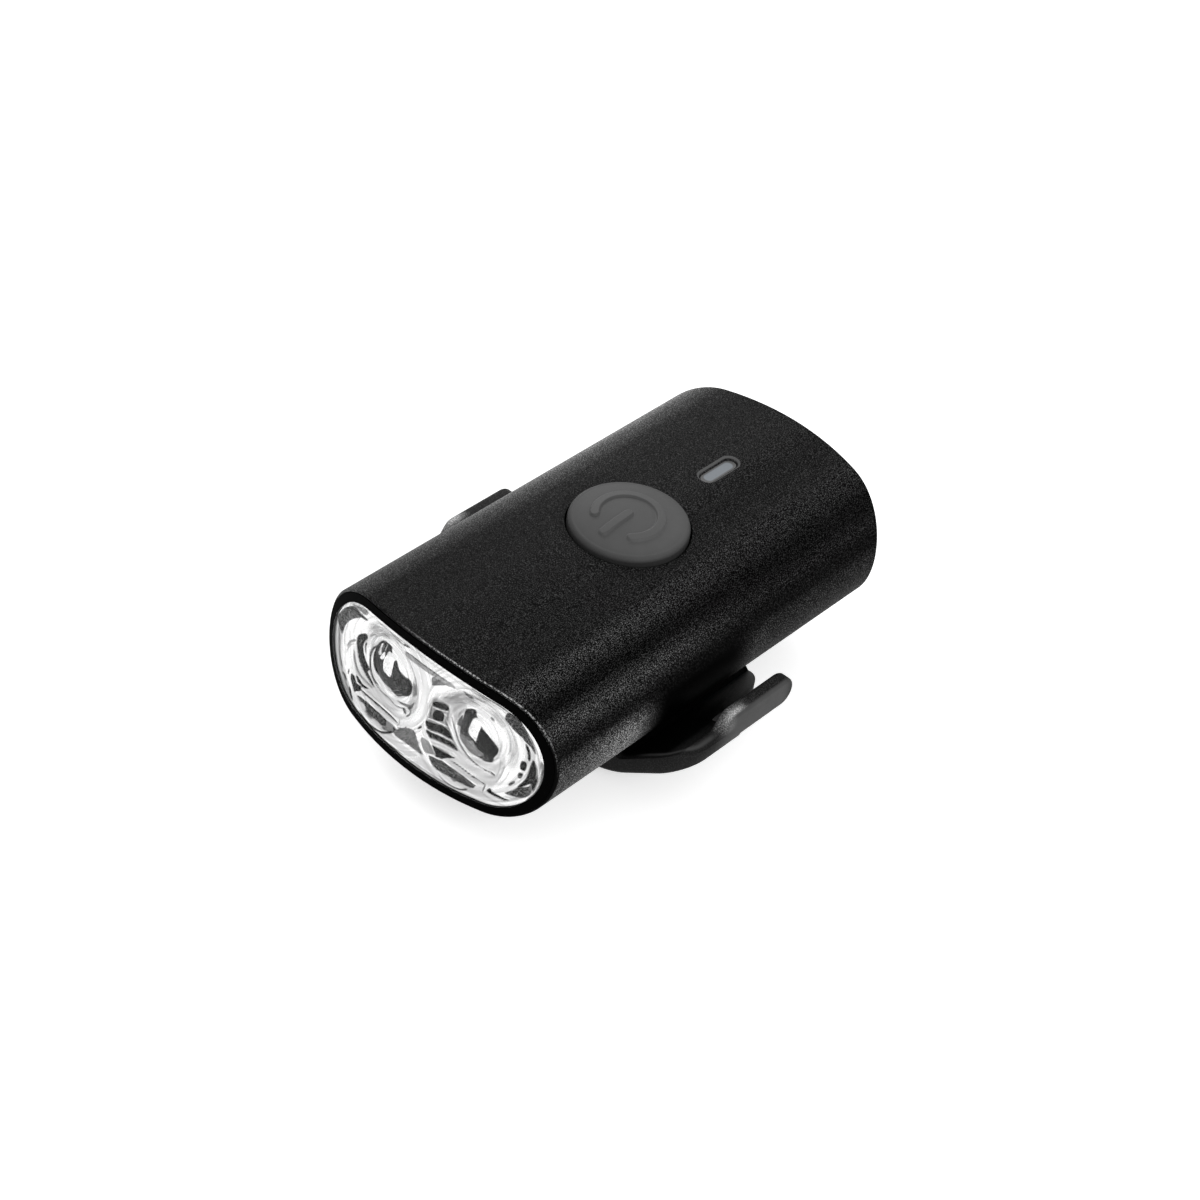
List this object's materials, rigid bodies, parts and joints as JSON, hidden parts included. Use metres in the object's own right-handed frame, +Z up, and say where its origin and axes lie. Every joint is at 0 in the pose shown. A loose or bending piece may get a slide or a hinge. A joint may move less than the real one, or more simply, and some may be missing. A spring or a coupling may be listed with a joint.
{
  "type": "helmet light",
  "caption": "Small helmet light: oval metal tube with a clear twin-optic front, rubber power button, indicator, charging port and a plastic base with strap hooks.",
  "frame": {"origin": "on the surface that the light stands on, under the middle of its outline", "axes": "+Z up, the beam along -Y, +X to the right seen from the front; +Y is the long axis of the tube"},
  "size_m": [0.0518, 0.074, 0.0291],
  "materials": {
    "body_shell": "black anodised, bead blasted",
    "front_bezel": "satin black",
    "front_gasket": "matte",
    "front_window": "clear, polished",
    "window_gasket": "matte",
    "optic_plate": "clear, polished",
    "collimator_left": "clear, polished",
    "collimator_right": "clear, polished",
    "reflector_tray": "bright metallised",
    "led_board": "white solder mask",
    "led_left": "clear dome over phosphor",
    "led_right": "clear dome over phosphor",
    "heat_plate": "milled",
    "led_board_screws": "zinc plated",
    "chassis_tray": "matte black",
    "battery_cell": "foil pouch",
    "battery_foam": "open cell",
    "main_board": "green solder mask",
    "board_screws": "zinc plated",
    "driver_coil": "ferrite grey",
    "control_chips": "black epoxy",
    "board_capacitors": "tan ceramic",
    "cell_lead_socket": "natural nylon",
    "cell_lead_red": "silicone insulation",
    "cell_lead_black": "silicone insulation",
    "emitter_lead_red": "silicone insulation",
    "emitter_lead_black": "silicone insulation",
    "switch_body": "moulded",
    "switch_plunger": "moulded",
    "button_seat": "moulded",
    "power_button": "matte grey silicone",
    "indicator_emitter": "moulded",
    "light_pipe": "translucent",
    "charge_socket": "nickel plated",
    "charge_tongue": "moulded",
    "rear_cap": "satin black",
    "rear_gasket": "matte",
    "rear_cap_screws": "black oxide",
    "charge_cover": "matte silicone",
    "mount_base": "fine texture",
    "mount_screws": "stainless",
    "mount_nut_plate": "zinc plated",
    "grip_pad": "matte"
  },
  "bodies": {
    "light": {"body_shell": "body_shell", "front_bezel": "front_bezel", "front_gasket": "front_gasket", "front_window": "front_window", "window_gasket": "window_gasket", "optic_plate": "optic_plate", "collimator_left": "collimator_left", "collimator_right": "collimator_right", "reflector_tray": "reflector_tray", "led_board": "led_board", "led_left": "led_left", "led_right": "led_right", "heat_plate": "heat_plate", "led_board_screws": "led_board_screws", "chassis_tray": "chassis_tray", "battery_cell": "battery_cell", "battery_foam": "battery_foam", "main_board": "main_board", "board_screws": "board_screws", "driver_coil": "driver_coil", "control_chips": "control_chips", "board_capacitors": "board_capacitors", "cell_lead_socket": "cell_lead_socket", "cell_lead_red": "cell_lead_red", "cell_lead_black": "cell_lead_black", "emitter_lead_red": "emitter_lead_red", "emitter_lead_black": "emitter_lead_black", "switch_body": "switch_body", "button_seat": "button_seat", "indicator_emitter": "indicator_emitter", "light_pipe": "light_pipe", "charge_socket": "charge_socket", "charge_tongue": "charge_tongue", "rear_cap": "rear_cap", "rear_gasket": "rear_gasket", "rear_cap_screws": "rear_cap_screws", "mount_base": "mount_base", "mount_screws": "mount_screws", "mount_nut_plate": "mount_nut_plate", "grip_pad": "grip_pad"},
    "button": {"power_button": "power_button", "switch_plunger": "switch_plunger"},
    "cover": {"charge_cover": "charge_cover"}
  },
  "joints": [
    {"name": "button_press", "type": "slide", "parent": "light", "child": "button", "axis": [0, 0, -1], "range_m": [0, 0.0004], "stiffness_N_per_m": 2000},
    {"name": "cover_swing", "type": "hinge", "parent": "light", "child": "cover", "pos_m": [0, 0.03597, 0.018], "axis": [-1, 0, 0], "range_deg": [0, 110]}
  ]
}
